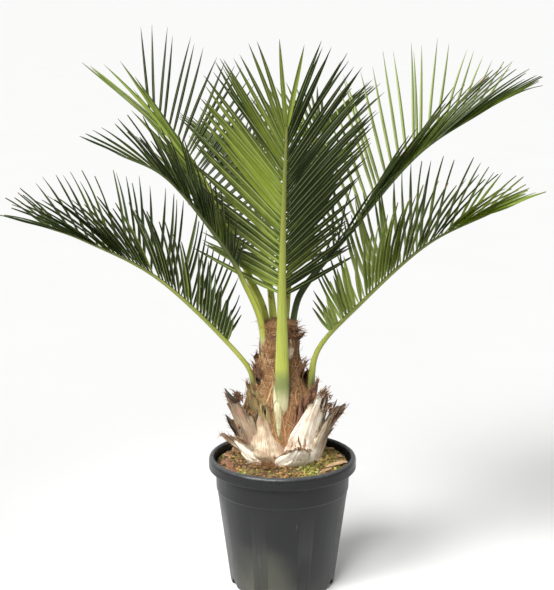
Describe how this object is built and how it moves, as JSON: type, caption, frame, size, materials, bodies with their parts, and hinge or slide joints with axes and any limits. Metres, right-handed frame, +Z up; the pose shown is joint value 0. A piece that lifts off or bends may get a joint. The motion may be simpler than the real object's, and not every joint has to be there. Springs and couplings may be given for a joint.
{
  "type": "potted chilean wine palm",
  "caption": "Young feather palm with arching fronds on a short stump of cut leaf bases, standing in soil in a round nursery pot.",
  "frame": {"origin": "on the ground under the middle of the pot", "axes": "+Z up along the pot's axis, -Y towards the viewer of the picture, +X to its right"},
  "size_m": [1.4128, 0.8566, 1.4263],
  "materials": {
    "pot": "black moulded polypropylene, satin",
    "soil": "damp potting mix with moss and bark",
    "stump": "dry fibrous leaf bases, cream to grey-brown",
    "leaf": "living palm leaf, slightly glossy green"
  },
  "bodies": {
    "root": {"pot": "pot", "soil": "soil", "stump": "stump", "frond_front": "leaf", "frond_lower_left": "leaf", "frond_lower_right": "leaf", "frond_upper_left": "leaf", "frond_mid_left": "leaf", "frond_upper_right": "leaf", "frond_back_right": "leaf", "frond_back": "leaf", "spear": "leaf"}
  },
  "joints": []
}
